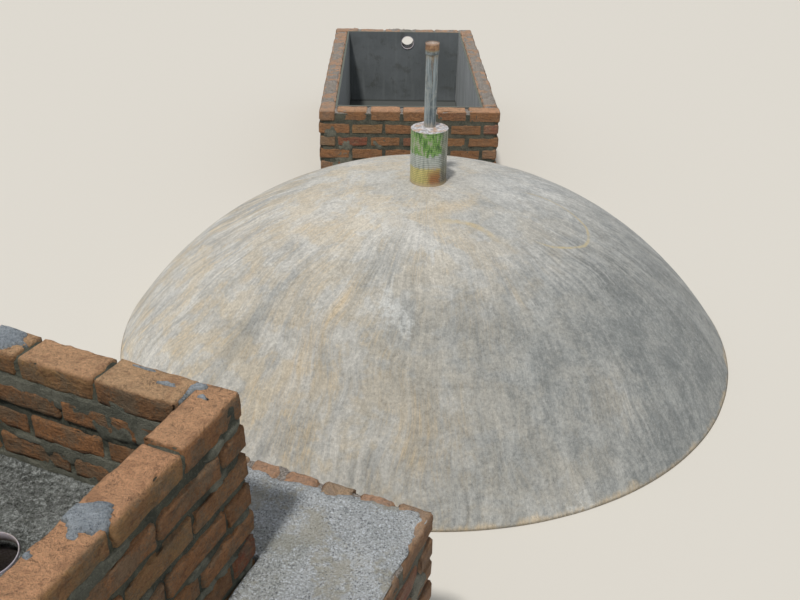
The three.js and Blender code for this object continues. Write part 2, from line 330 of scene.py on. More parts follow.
def soft_patches(*rows):
    """The sum of soft patches. Each has its middle, its lengths along the meridian and across it, and
    its strength, which is taken times exp of minus the squared distances over those lengths."""
    total = np.zeros(reach.shape)
    for x, y, along, across, strength in rows:
        out = reach - math.hypot(x, y)
        turn = (bearing - math.degrees(math.atan2(y, x)) + 180) % 360 - 180
        side = reach * np.radians(turn)
        total += strength * np.exp(-(out / along) ** 2 - (side / across) ** 2)
    return total


dark = dark + soft_patches(
    (0.26, -0.36, 0.16, 0.18, 0.42), (0.56, -0.28, 0.20, 0.20, 0.12), (-0.28, -0.69, 0.13, 0.16, 0.30),
    (-0.85, -0.86, 0.30, 0.05, 0.30), (-0.08, -0.94, 0.24, 0.22, 0.14), (-0.75, -0.80, 0.35, 0.40, 0.12),
    (0.80, -1.13, 0.15, 0.12, -0.40), (0.62, -1.52, 0.18, 0.14, -0.25), (0.75, -1.33, 0.16, 0.09, -0.15),
    (-0.90, 0.63, 0.35, 0.35, 0.22))
sand = 0.9 * ease(height[:, None] + 0.03 * rough(shell, 0.09, 15), 0.035, 0.0) + soft_patches(
    (-0.884, -0.559, 0.05, 0.04, 0.80), (-0.69, -0.648, 0.05, 0.03, 0.60), (-0.41, -0.86, 0.14, 0.04, 0.75),
    (-0.55, -1.00, 0.20, 0.06, 0.50), (0.10, -0.29, 0.07, 0.19, 0.85), (-0.18, -0.42, 0.05, 0.10, 0.40),
    (-0.06, -1.42, 0.22, 0.22, 0.50), (-0.60, -0.30, 0.12, 0.30, 0.45), (-0.62, -1.25, 0.22, 0.20, 0.35),
    (-0.95, -0.10, 0.20, 0.12, 0.40), (-0.90, 0.63, 0.30, 0.30, 0.40), (0.375, -0.84, 0.13, 0.018, 0.60))
lime = soft_patches(
    (-0.176, -0.937, 0.07, 0.06, 0.72), (-0.13, -1.02, 0.07, 0.04, 0.60), (-0.22, -0.86, 0.12, 0.035, 0.55),
    (0.60, -1.56, 0.09, 0.12, 0.50), (0.02, -0.62, 0.10, 0.05, 0.45), (-0.30, 0.10, 0.30, 0.25, 0.35))
warm = 0.55 - 0.45 * np.exp(-((bearing - 10) / 60) ** 2) * ease(reach, 0.2, 0.4)
warm = warm + 0.30 * np.exp(-((bearing + 115) / 35) ** 2) * ease(reach, 0.85, 1.3)
# Lighter towards the crown, and a little lighter on the left
bleached = 0.075 * ease(reach, 1.0, 0.45) + 0.02 * ease(np.abs(bearing), 130, 165)

# The brush pattern is drawn out thirteen times along the meridian. Its direction wanders by some
# degrees, and it fades out towards the crown.
slope = np.cumsum(np.hypot(np.diff(radius, prepend=radius[0]), np.diff(height, prepend=height[0])))
wander = spoke + 0.11 * rough(shell, 0.6, 19)
brush = np.stack([1.3 * np.cos(wander), 1.3 * np.sin(wander), slope[:, None] / 13 + 0 * wander], -1)
worked = (0.12 + 0.88 * ease(reach, 0.35, 1.0)) * (0.45 + 0.55 * ease(rough(shell, 0.4, 23), -0.25, 0.35))
worked = worked * (1 - 0.6 * np.clip(dark, 0, 1))
shell = shell + np.array([DOME_X, DOME_Y, 0])
dome = closed_grid("dome", shell, dark=dark, sand=sand, lime=lime, warm=warm, brush=brush, worked=worked,
                   bleached=bleached)

plaster, tree, shader, where = new_material("brushed cement plaster", 0.92)
along = kept("brush")["Vector"]
brushed = kept("worked")
fine_streak = noise(along, 120.0, 4.0, 0.7)
both = noise(along, 42.0, 3.0, 0.6) + 0.9 * fine_streak
sandy = grains(where, 260.0)
trowelled = noise(where, 6.0, 5.0, 0.62, 0.6)
swept = swing(noise(squeezed(along, 1, 1, 2.6), 15.0, 4.0, 0.62, 0.3), 1.0) * brushed
cloudy = ramp(noise(where, 5.5, 5.0, 0.65, 0.4) + swept, 0.42, 0.60)
mottled = 0.9 * swept + swing(trowelled, 0.6) + swing(noise(where, 34.0, 4.0, 0.75), 0.5)
wash = ramp(1.2 * ((both - 0.95) * brushed) + mottled, -0.22, 0.22)
warmth = kept("warm") * ramp(cloudy, 0.0, 1.0, 0.35, 1.0)
light = coats(
    (211, 211, 208),
    (wash, (168, 171, 172)),
    (warmth, (207, 193, 168)),
    (ramp(fine_streak, 0.47, 0.62) * ramp(trowelled, 0.44, 0.56) * warmth, (216, 194, 158)),
    (ramp(noise(along, 24.0, 3.0, 0.6, 0.2), 0.54, 0.64, 0.0, 0.62) * brushed, (151, 157, 163)),
)
# deep is the darker colour: darker wash, and painted shade on the side turned from the light
deep = coats(
    (148, 151, 150),
    (wash, (120, 124, 124)),
    (0.3 * torn(where, 9.0, 0.56, 0.10, 0.5), (160, 160, 156)),
)
torn_lime = kept("lime") + swing(noise(where, 30.0, 5.0, 0.75, 0.5), 2.4)
colour = coats(
    light,
    (kept("dark") + swing(wash, 0.25), deep),
    (ramp(kept("sand") + (both - 1.1), 0.0, 1.0, 0.0, 0.6), (212, 190, 154)),
    (ramp(torn_lime, 0.3, 0.85, 0.0, 0.6), (206, 208, 206)),
)
fibres = swing(fine_streak, 1.8) * brushed
colour = scaled(colour, fibres + swing(noise(where, 75.0, 5.0, 0.8), 1.4) + kept("bleached"))

# Dried tide lines of spilt water: the right ends of two flat rings left on the plaster
wobble = 0.16 * (noise(where, 5.0) - 0.5)
gaps = ramp(noise(where, 45.0, 4.0, 0.7), 0.40, 0.52, 0.55, 1.0)
broken = ramp(trowelled, 0.36, 0.58, 0.5, 0.9) * gaps


def tide_line(x, y, wide, deep, edge, foot):
    """A broken line round an oval on the plaster, which fades out on the oval's left and in front of
    foot. edge is half the line's own width. Both are shares of the oval's half widths."""
    oval = {"Vector": where, "Location": (DOME_X + x, DOME_Y + y, 0), "Scale": (wide, deep, 10000)}
    axes = add("ShaderNodeMapping", oval, vector_type="TEXTURE")
    far = add("ShaderNodeVectorMath", {0: axes}, operation="LENGTH")["Value"]
    line = ramp(reckon("ABSOLUTE", far + wobble - 1.0), 0.2 * edge, edge, 1.0, 0.0)
    split = add("ShaderNodeSeparateXYZ", {0: axes})
    return line * (ramp(split[0], -0.35, 0.15) * ramp(split[1], foot, foot + 0.5)) * broken


colour = coats(
    colour,
    (tide_line(0.56, -0.235, 0.255, 0.240, 0.045, -2.0), (198, 184, 148)),
    (tide_line(0.09, -0.61, 0.235, 0.200, 0.13, 0.25), (206, 190, 156)),
    (0.35 * sandy["Pale"], (222, 220, 212)),
    (0.5 * sandy["Pores"], (92, 94, 92)),
)
relief = 0.4 * both + 0.5 * noise(along, 240.0, 3.0, 0.7) + 1.2 * trowelled + 0.5 * sandy["Height"]
finish_material(colour, relief, 0.0048)
dome.data.materials.append(plaster)
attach(dome, "root")
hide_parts("dome_shell")


# Turret
# An empty round tin with its ends cut out stands on the crown as a mould round the gas pipe. It is
# of thin ribbed steel, with bands of green, white and yellow paint, and is filled with cement.

TIN_RADIUS = 0.095
RIB_PITCH = 0.010
tin_low, tin_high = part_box("turret_tin")


def straight(radius, start, end, count):
    """A straight part of an outline: points at one radius from start to end."""
    return np.stack([np.full(count, radius), np.linspace(start, end, count)], -1)


def turned_skin(outline, spokes, wave=None):
    """A ring-shaped skin: the parts of an outline of radius and height carried round the dome's axis,
    with wave(points, bearing) added to the radius. It runs down the outside and up the inside."""
    angle = 2 * np.pi * np.arange(spokes) / spokes
    radius, height = np.repeat(np.concatenate(outline)[..., None], spokes, 2).transpose(1, 0, 2)
    if wave is not None:
        points = np.stack([radius * np.cos(angle), radius * np.sin(angle), height], -1)
        radius = radius + wave(points, np.degrees(angle))
    return np.stack([DOME_X + radius * np.cos(angle), DOME_Y + radius * np.sin(angle), height], -1)


def tin_wave(points, angle):
    """Out of round by half a millimetre, with three soft dents and an upright seam."""
    turn = (angle + 180) % 360 - 180
    above = points[..., 2] - tin_low.z
    dents = 0
    for deep, facing, wide, level, tall in ((0.0032, -62, 16, 0.19, 0.035), (0.0025, -118, 13, 0.09, 0.03),
                                            (0.0035, 70, 18, 0.13, 0.05)):
        dents = dents - deep * np.exp(-((turn - facing) / wide) ** 2 - ((above - level) / tall) ** 2)
    seam = 0.0007 * ease(np.abs(turn + 22), 3.4, 1.6)
    return 0.0006 * cloud(points, 0.08, 5) + dents + seam - 0.0004


wall_height = part_way(tin_high.z - 0.006, tin_low.z + 0.006, 120)
ribs = 0.0006 * np.cos(2 * np.pi * (wall_height - tin_low.z) / RIB_PITCH)
ribs = ribs * ease(wall_height - tin_low.z, 0.012, 0.02) * ease(tin_high.z - wall_height, 0.014, 0.022)
bead = np.array([[0.0, -0.0], [0.0012, -0.0004], [0.002, -0.0015], [0.0018, -0.003], [0.0008, -0.0045]])
rim = bead + [TIN_RADIUS - 0.001, tin_high.z]
foot = bead[::-1] * [1, -1] + [TIN_RADIUS - 0.001, tin_low.z]
wall = np.stack([TIN_RADIUS + ribs - 0.0005, wall_height], -1)
inside = straight(TIN_RADIUS - 0.0012, tin_low.z + 0.004, tin_high.z - 0.004, 40)
tin = closed_grid("tin", turned_skin([rim, wall, foot, inside], 128, tin_wave))


def from_axis(level):
    """Places measured from the dome's axis and from a level."""
    return add("ShaderNodeMapping", {"Vector": where, "Location": (-DOME_X, -DOME_Y, -level)})


tin_paint, tree, shader, where = new_material("worn painted tin", 0.5, 0.15)
axis = from_axis(tin_low.z)
split = add("ShaderNodeSeparateXYZ", {0: axis})
upright = noise(squeezed(axis, 1, 1, 0.22), 75.0, 3.0, 0.6)
ragged = 0.06 * (noise(axis, 60.0, 4.0, 0.7) - 0.5)
level = split[2] + ragged
green = coats(
    (166, 174, 146),
    (ramp(upright, 0.42, 0.49), (118, 162, 82)),
    (ramp(upright, 0.54, 0.60), (70, 110, 54)),
)
white = mixed(ramp(upright, 0.42, 0.66), (184, 190, 184), (152, 160, 154))
yellow = mixed(ramp(upright, 0.40, 0.66), (206, 194, 126), (172, 166, 104))
metal = mixed(ramp(upright, 0.35, 0.60), (160, 162, 152), (122, 126, 118))
rusted = torn(axis, 14.0, 0.50, 0.08, 0.5)
rust_low = ramp(split[2], 0.13, 0.04) * ramp(split[0], -0.045, 0.02)
rust_share = rust_low * ramp(rusted, 0.0, 1.0, 0.35, 1.0)
scuffed = 0.3 * torn(axis, 30.0, 0.74, 0.05, 0.7)
bare = reckon("MAXIMUM", scuffed, ramp(split[0] + ragged, 0.048, 0.066))
colour = coats(
    white,
    (ramp(level, 0.158, 0.170), green),
    (ramp(level, 0.102, 0.086), yellow),
    (rust_share, (158, 108, 68)),
    (0.85 * bare, metal),
    # painted shade in the valleys between the ribs
    (ramp(reckon("COSINE", 2 * math.pi / RIB_PITCH * split[2]), -0.1, -1.0, 0.0, 0.5), (74, 76, 64)),
    (0.8 * ramp(split[2], 0.03, 0.0), (178, 160, 130)),
)
join(ramp(bare, 0.0, 1.0, 0.0, 0.6), "Metallic")
join(ramp(rust_share, 0.0, 1.0, 0.42, 0.85), "Roughness")
finish_material(colour, upright + 0.4 * rusted, 0.0006)

tin.data.materials.append(tin_paint)
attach(tin, "root")
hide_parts("turret_tin")


# Cement fill
# Sand and cement tamped into the tin and struck off a little proud of its rim. It rises to the pipe
# and has run over the rim in places.

fill_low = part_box("turret_cement")[0]
EDGE = slice(16, 20)
top_radius = np.concatenate([np.linspace(PIPE_HOLE, 0.088, 16), [0.0925, 0.0945, 0.0955, 0.0945]])
rise = 0.0085 * (1 - ease(top_radius, 0.030, 0.075)) + 0.0022
rise[EDGE] = [0.0021, 0.0014, -0.0002, -0.0026]
top = np.stack([top_radius, tin_high.z + rise], -1)
side = straight(0.0895, tin_high.z - 0.005, fill_low.z, 6)
fill_points = turned_skin([top, side, [[PIPE_HOLE, fill_low.z]]], 120)
crust = rough(fill_points[:20], 0.018, 21)
fill_points[:20, :, 2] += 0.0016 * crust * ease(top_radius, 0.030, 0.042)[:, None]
run_over = ease(cloud(fill_points[EDGE], 0.06, 8), -0.25, 0.25)[..., None]
inward = (fill_points[EDGE] - [DOME_X, DOME_Y, 0]) * [0.035, 0.035, 0]
fill_points[EDGE] -= inward * (1 - run_over)
cement_fill = closed_grid("cement_fill", fill_points)

pale_cement, tree, shader, where = new_material("pale cement", 0.9)
sandy = grains(where, 420.0)
colour = coats(
    (208, 208, 212),
    (ramp(noise(where, 60.0), 0.4, 0.6), (158, 156, 158)),
    (0.85 * torn(where, 22.0, 0.55, 0.08, 0.5), (186, 154, 128)),
    (0.5 * sandy["Pores"], (130, 122, 110)),
)
finish_material(colour, sandy["Height"], 0.0016)
cement_fill.data.materials.append(pale_cement)
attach(cement_fill, "root")
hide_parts("turret_cement")


# Gas pipe and socket
# Two-inch galvanised steel pipe cast into the crown, weathered to a streaked blue-grey. A steel
# socket is screwed on its end; its zinc is gone from the upper half, which has rusted.

GAS_PIPE_RADIUS, GAS_PIPE_BORE = 0.03015, 0.02655
pipe_low, pipe_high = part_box("gas_pipe")
outer = straight(GAS_PIPE_RADIUS, pipe_high.z - 0.001, pipe_low.z, 60)
inner = straight(GAS_PIPE_BORE, pipe_low.z, pipe_high.z, 20)
pipe_points = turned_skin([[[0.0293, pipe_high.z]], outer, inner], 64,
                          lambda points, angle: 0.00025 * cloud(points, 0.05, 4) - 0.0002)
within = np.repeat([0.0, 1.0], [61, 20])
pipe = closed_grid("pipe", pipe_points, within=within[:, None])

zinc, tree, shader, where = new_material("weathered zinc", 0.55, 0.45)
axis = from_axis(1.13)
split = add("ShaderNodeSeparateXYZ", {0: axis})
streak = noise(squeezed(axis, 1, 1, 0.05), 110.0, 4.0, 0.65)
bloom = torn(axis, 30.0, 0.54, 0.08, 0.6)
level = split[2] + 0.12 * (streak - 0.5)
below_socket = ramp(level, 0.335, 0.365, 0.0, 0.35)
run_down = ramp(split[2], 0.12, 0.37) * ramp(streak, 0.54, 0.62)
splash = ramp(level, 0.045, 0.012)
dusted_bore = kept("within")
colour = coats(
    (158, 169, 174),
    (ramp(streak, 0.36, 0.62), (102, 113, 118)),
    (0.35 * bloom, (184, 186, 180)),
    (below_socket, (170, 146, 100)),
    (0.6 * run_down, (150, 112, 76)),
    (0.75 * splash, (188, 178, 162)),
    (dusted_bore, (176, 160, 148)),
)
join(ramp(dusted_bore, 0.0, 1.0, 0.45, 0.0), "Metallic")
join(ramp(streak, 0.35, 0.65, 0.4, 0.75), "Roughness")
finish_material(colour, streak + bloom, 0.0004)
pipe.data.materials.append(zinc)
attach(pipe, "root")
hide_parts("gas_pipe")

socket_low, socket_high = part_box("gas_pipe_socket")
LENGTH, THREADS = 0.055, 24
outer = np.array([[0.0322, 0], [0.0332, -0.0006], [0.0338, -0.0018], [0.034, -0.008], [0.0334, -0.0095],
                  [0.0334, -0.011], [0.0338, -0.0125], [0.0339, -0.030], [0.0338, -0.046],
                  [0.0334, -0.0475], [0.0336, -0.049], [0.0339, -0.0535], [0.0328, -LENGTH]])
outer = outer + [0, socket_high.z]
thread = np.arange(THREADS)
screw = np.stack([0.03065 + 0.00035 * (thread % 2), socket_low.z + LENGTH / THREADS * (thread + 0.5)], -1)
inner = np.concatenate([[[0.0306, socket_low.z]], screw, [[0.0312, socket_high.z]]])
socket_points = turned_skin([outer, inner], 72,
                            lambda points, angle: 0.0002 * cloud(points, 0.012, 6) - 0.0002)
within = np.repeat([0.0, 1.0], [len(outer), len(inner)])
socket = closed_grid("socket", socket_points, within=within[:, None])

rust, tree, shader, where = new_material("rusted steel", 0.88, 0.1)
axis = from_axis(socket_low.z)
split = add("ShaderNodeSeparateXYZ", {0: axis})
flake = torn(axis, 55.0, 0.5, 0.12, 0.6)
crumb = grains(axis, 700.0)
streak = noise(axis, 90.0, 4.0, 0.65)
level = split[2] + swing(streak, 0.016)
rusty = coats(
    (164, 130, 98),
    (flake, (130, 100, 78)),
    (ramp(crumb["Height"], 0.45, 0.8, 0.0, 0.5), (178, 142, 110)),
)
colour = coats(
    (142, 150, 152),
    (ramp(streak, 0.4, 0.6), (106, 114, 116)),
    (ramp(level, 0.010, 0.022, 0.0, 0.7), (160, 140, 100)),
    (ramp(level, 0.018, 0.026), rusty),
    (0.6 * ramp(split[2], 0.044, 0.049), (196, 168, 150)),
    (0.8 * kept("within"), (138, 124, 116)),
)
finish_material(colour, crumb["Height"] + flake, 0.0008)
socket.data.materials.append(rust)
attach(socket, "root")
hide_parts("gas_pipe_socket")


# Outlet tank brickwork
# Half-brick walls of hand-moulded clay bricks in stretcher bond. At each corner the courses run
# through by turns, so that a whole brick and a brick's end show above each other.

WALL = 0.114
COURSE = 0.092
BRICK_HEIGHT = 0.076
BRICK_STEP = 0.235
CLEARANCE = 0.0004
SIDES = ("front", "right", "back", "left")
COARSE_BLOCK, EDGE_BLOCK, FINE_BLOCK = (6, 3, 3), (12, 9, 6), (22, 11, 8)


def side_frame(low, high, side):
    """Start corner, direction and inward direction of one side of a rectangle, taken anticlockwise,
    and the side's length."""
    corners = [(low[0], low[1]), (high[0], low[1]), (high[0], high[1]), (low[0], high[1])]
    start = np.array(corners[side])
    run = np.array(corners[(side + 1) % 4]) - start
    length = np.hypot(*run)
    along = run / length
    return start, along, np.array([-along[1], along[0]]), length


def laid_course(first, last, brick, joint, backwards):
    """Ends of the bricks of one course between two points: whole bricks from one end, a cut one at
    the other, and no piece shorter than 45 mm."""
    count = max(1, math.ceil((last - first - 0.045) / (brick + joint)))
    left = first + (brick + joint) * np.arange(count)
    right = np.minimum(left + brick, last)
    right[-1] = last
    if backwards:
        left, right = first + last - right[::-1], first + last - left[::-1]
    return left, right


def brick_side(length, top, foot, joint, brick=None, backwards=False, gap=None):
    """All bricks of one wall, as rows of left, right, bottom, top and course. Courses count down from
    the top. Even courses own the far corner and odd ones the near corner. brick is a brick's length;
    if it isn't given, whole bricks fill the wall. gap is left, right, bottom and top of a place that
    bricks are cut round."""
    rows = []
    for course in range(math.ceil((top - foot) / COURSE)):
        high = top - course * COURSE
        low = max(high - BRICK_HEIGHT, foot)
        if high - low < 0.02:
            continue
        first, last = (0.0, length - WALL - joint) if course % 2 else (WALL + joint, length)
        fitted = brick or (last - first + joint) / round((last - first + joint) / BRICK_STEP) - joint
        left, right = laid_course(first, last, fitted, joint, backwards)
        if gap and low < gap[3] and high > gap[2]:
            left, right = (np.append(left, np.maximum(left, gap[1])),
                           np.append(np.minimum(right, gap[0]), right))
            keep = right - left > 0.03
            left, right = left[keep], right[keep]
        rows.append(np.stack([left, right, low + 0 * left, high + 0 * left, course + 0 * left], -1))
    return np.concatenate(rows)


def block_skin(segments):
    """The skin of a block in segments along each side: for each point its place on the flat faces,
    -1 to 1, and which edges it lies on, -1, 0 or 1, and the faces, turned outwards."""
    shape = np.add(segments, 1)
    lattice = np.arange(shape.prod()).reshape(shape)
    sheets = [(axis, end, np.take(lattice, end, axis)) for axis in range(3) for end in (0, -1)]
    faces = [grid_faces(sheet.T if (axis == 1) != (end == 0) else sheet) for axis, end, sheet in sheets]
    used, faces = np.unique(np.concatenate(faces), return_inverse=True)
    step = np.stack(np.unravel_index(used, shape), -1)
    edge = np.where(step == 0, -1.0, np.where(step == segments, 1.0, 0.0))
    flat = np.clip((step - 1) / (np.array(segments) - 2) * 2 - 1, -1, 1)
    return flat, edge, faces.reshape(-1, 4)


def bricks(name, laid, wall, segments, rng, place, wear, stand, grime=0.0, darkest_share=1.0):
    """One mesh of separate bricks. A brick is a block whose edges are rounded over by 5 to 10 mm times
    its wear: each point is its place on the flats plus the rounding times the direction of its edge.
    Clouds with the brick's own number push it in and out, and its arrises are worn most. stand is
    the least and the greatest depth that a brick is set behind the wall's face, and fired is how
    dark the darkest brick is. A coarse block is shaded flat on its sides, so that only its rounded
    edges turn the light."""
    start, along, inward, length = wall
    flat, edge, faces = block_skin(segments)
    lean = edge / np.linalg.norm(edge, axis=-1, keepdims=True)
    count = len(laid)
    left, right, low, high, course = laid.T
    half = np.stack([right - left, WALL - 2 * rng.uniform(0.0, 0.003, count), high - low], -1) / 2
    rounding = wear * rng.uniform(0.005, 0.010, count)[:, None, None]
    points = flat * (half[:, None] - rounding) + lean * rounding
    own = points + 0.73 * (np.arange(count) + rng.integers(50))[:, None, None]
    corner = (np.abs(edge).sum(-1) > 1.5).astype(float)
    push = wear * (0.0012 * cloud(own, 0.055, 2) + 0.0021 * rough(own, 0.026, 5) - 0.0005)
    chip = 0.0014 * cloud(own, 0.012, 13) + 0.009 * ease(cloud(own, 0.035, 11), 0.32, 0.75)
    push = push - wear * corner * (0.0022 * (1 + rough(own, 0.03, 7)) + chip)
    points = points + lean * push[..., None]
    bow = 0.0016 * wear * rng.normal(size=count)[:, None] * (points[..., 0] / 0.115) ** 2
    turn = np.radians(rng.normal(0, 0.5, count))[:, None]
    u = (left + right)[:, None] / 2 + points[..., 0] - turn * points[..., 1]
    v = WALL / 2 + points[..., 1] + turn * points[..., 0] + bow + rng.uniform(*stand, count)[:, None]
    u, v = np.clip(u, CLEARANCE, length - CLEARANCE), np.maximum(v, min(CLEARANCE, 1.5 * stand[0]))
    settle = np.where(low > 0.01, rng.normal(0, 0.0012, count), 0.0)[:, None]
    z = (low + high)[:, None] / 2 + points[..., 2] + settle
    plan = start + u[..., None] * along + v[..., None] * inward
    solid = np.concatenate([plan, np.maximum(z, 0.0)[..., None]], -1)
    upward = np.tile(np.clip(lean[:, 2], 0, 1), count) * np.repeat(course == 0, len(flat))
    painted = {
        "tone": np.repeat(darkest_share * rng.uniform(size=count), len(flat)),
        "clay": np.repeat(rng.uniform(size=count), len(flat)),
        "arris": np.tile(corner, count),
        "upward": upward,
        "grime": grime * np.maximum(upward, 0.4),
    }
    numbers = (faces[None] + len(flat) * np.arange(count)[:, None, None]).reshape(-1, 4)
    facing = None
    if segments == COARSE_BLOCK:
        plan = lean[:, :1] * along + lean[:, 1:2] * inward
        ahead = np.concatenate([plan, lean[:, 2:]], -1) + 0 * solid
        facing = place(solid + ahead) - place(solid)
    return new_piece(name, place(solid.reshape(-1, 3)), numbers, painted, facing)


def same_place(points):
    """The outlet tank stands square to the part."""
    return points


clay, tree, shader, where = new_material("hand-moulded brick", 0.93)
tone = kept("tone")
kind = kept("clay")
sandy = grains(where, 330.0)
mottle = torn(where, 24.0, 0.5, 0.16, 0.5)
film = torn(where, 13.0, 0.53, 0.11, 0.7)
crease = noise(where, 46.0, 5.0, 0.7, 0.2)
folded = noise(squeezed(where, 1, 1, 2.6), 17.0, 4.0, 0.6, 0.8)
fold = ramp(reckon("ABSOLUTE", folded - 0.5), 0.0, 0.011, 1.0, 0.0) * ramp(mottle, 0.3, 0.9)
pitted = noise(where, 130.0, 4.0, 0.8)
upward = kept("upward")
dust = ramp(upward + 0.3 * crease, 0.35, 1.2)
topping = coats(
    (234, 174, 132),
    (tone, (224, 186, 144)),
    # painted shade in the creases and low folds of the top faces
    (ramp(crease, 0.42, 0.33, 0.0, 0.5), (146, 106, 78)),
    (ramp(folded, 0.46, 0.34, 0.0, 0.45), (164, 118, 86)),
)
filmed = film * ramp(upward, 0.0, 1.0, 0.6, 0.1) * ramp(kept("grime"), 0.0, 0.1, 1.0, 0.45)
colour = coats(
    (172, 119, 75),
    (tone, (122, 90, 60)),
    (ramp(kind, 0.84, 0.91), (146, 80, 58)),
    (ramp(kind, 0.26, 0.14), (158, 122, 80)),
    (0.5 * mottle, (178, 128, 86)),
    # painted shade where the folds and creases of the bump are low
    (ramp(folded, 0.48, 0.34, 0.0, 0.5), (108, 74, 50)),
    (ramp(crease, 0.42, 0.32, 0.0, 0.5), (92, 62, 44)),
    (0.85 * dust, topping),
    (kept("arris") * ramp(mottle, 0.0, 1.0, 0.15, 0.5), (184, 142, 104)),
    (filmed, (118, 110, 92)),
    # painted shade along the fold lines, which are pressed in
    (0.5 * fold, (92, 64, 46)),
    (kept("grime") * ramp(folded, 0.3, 0.6, 1.0, 0.5), (166, 151, 137)),
)
# Painted light and shade that follow the bump: lighter where it is high, darker in pits and creases
colour = scaled(colour, swing(pitted, 1.3) + swing(crease, 0.5))
colour = coats(
    colour,
    (0.35 * sandy["Pale"], (200, 166, 130)),
    (0.65 * sandy["Pores"], (74, 50, 38)),
)
relief = 1.3 * crease + 0.6 * sandy["Height"] + 1.8 * folded + pitted - 0.35 * fold
finish_material(colour, relief, 0.011)

outlet_box = [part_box(f"outlet_{side}_wall") for side in SIDES]
OUTLET_LOW = np.min([low for low, high in outlet_box], axis=0)
OUTLET_HIGH = np.max([high for low, high in outlet_box], axis=0)
sleeve_low, sleeve_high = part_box("overflow_sleeve")
SLEEVE_X = (sleeve_low.x + sleeve_high.x) / 2
SLEEVE_Z = (sleeve_low.z + sleeve_high.z) / 2
GAP = 0.070
rng = np.random.default_rng(17)
for number, side in enumerate(SIDES):
    wall = side_frame(OUTLET_LOW, OUTLET_HIGH, number)
    across = OUTLET_HIGH[0] - SLEEVE_X
    gap = (across - GAP, across + GAP, SLEEVE_Z - GAP, SLEEVE_Z + GAP) if side == "back" else None
    laid = brick_side(wall[-1], OUTLET_HIGH[2], 0.0, joint=0.012, gap=gap)
    # The outlet's bricks are paler all round than the inlet's: painted light, making up for the shade on
    # its front wall
    piece = bricks(f"outlet_{side}_bricks", laid, wall, COARSE_BLOCK, rng, same_place, wear=1.5,
                   stand=(0.001, 0.005), grime=0.3 if side == "front" else 0.9, darkest_share=0.3)
    piece.data.materials.append(clay)
    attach(piece, "root")
    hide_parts(f"outlet_{side}_wall")


# Outlet tank mortar
# Cement and sand mortar between the bricks, raked back from the face and not pointed. Some of it is
# smeared over the bricks, and it is daubed along the tops of the side walls.

def ring_path(low, high, pitch):
    """Corner numbers and the share of the way to the next corner, in even steps round a rectangle."""
    run = np.abs(np.subtract(high, low))[:2]
    steps = [max(2, round(run[side % 2] / pitch)) for side in range(4)]
    corner = np.repeat(np.arange(4), steps)
    share = np.concatenate([np.arange(count) / count for count in steps])
    return corner, share


def ring_points(low, high, corner, share, inset, height):
    """Points on rectangles inside each other: the side of the rectangle that lies inset from the
    outer one, at the share of the way between its corners, and at the given height."""
    left, front = low[0] + inset, low[1] + inset
    right, back = high[0] - inset, high[1] - inset
    following = (corner + 1) % 4
    x = np.choose(corner, [left, right, right, left])
    y = np.choose(corner, [front, front, back, back])
    next_x = np.choose(following, [left, right, right, left])
    next_y = np.choose(following, [front, front, back, back])
    return np.stack([x + (next_x - x) * share, y + (next_y - y) * share, height + 0 * x], -1)


def mortar_skin(name, low, high, raked, proud, levels, pitch, smear, pats, dust, place, hole=None):
    """A ring-shaped skin just inside the wall's faces: up the inner face, over the top, down the
    outer face. It lies raked behind the wall's face, plus clouds of sand, and where smear(points,
    face) is 1 it rises to the face and at most proud past it. pats(points) adds to the top. face is
    0 inside, 1 on top and 2 outside, and levels are the heights inside and outside. dust is how
    dusty the mortar is on its sides and on its top."""
    inner_levels, outer_levels = levels
    corner, share = ring_path(low, high, pitch)
    cap = np.linspace(WALL - raked, raked, 12)
    face = np.repeat([0, 1, 2], [len(inner_levels), len(cap), len(outer_levels)])
    inset = np.where(face == 0, WALL - raked, raked)
    inset[face == 1] = cap
    drop = 0.012 * ease(np.minimum(cap, WALL - cap) - raked, 0.010, 0.0)
    level = np.concatenate([inner_levels, high[2] - raked - drop, outer_levels])
    run = np.abs(np.subtract(high, low))[corner % 2]
    rounded = 0.010 * ease(np.minimum(share, 1 - share) * run, 0.035, 0.0)
    inset = inset[:, None] + rounded * (inset < WALL / 2)[:, None]
    base = ring_points(low, high, corner, share, inset, level[:, None])
    over = smear(base, face[:, None])
    pat = pats(base) * (face == 1)[:, None]
    lift = 0.0004 + 0.0042 * rough(base, 0.034, 31)
    lift = lift * (1 - over) + over * (raked - 0.0008 + 0.0034 * rough(base, 0.022, 37))
    lift = np.minimum(lift, raked + proud)
    lift[[0, -1]] = 0
    lift = lift * (level > 0.001)[:, None]
    moved_inset = inset + lift * (1 - face)[:, None]
    moved_level = level[:, None] + lift * (face == 1)[:, None] + pat
    points = ring_points(low, high, corner, share, moved_inset, moved_level)
    number = np.pad(np.arange(base[..., 0].size).reshape(base.shape[:2]), ((0, 1), (0, 1)), mode="wrap")
    faces = tunnel(number, base, face, hole) if hole else grid_faces(number)
    dusty = np.where(face == 1, dust[1], dust[0])
    painted = {"smear": over.ravel(), "fresh": ease(pat, 0.4 * raked, raked + 0.001).ravel(),
               "dusty": np.repeat(dusty, len(corner))}
    return new_piece(name, place(points.reshape(-1, 3)), faces, painted)


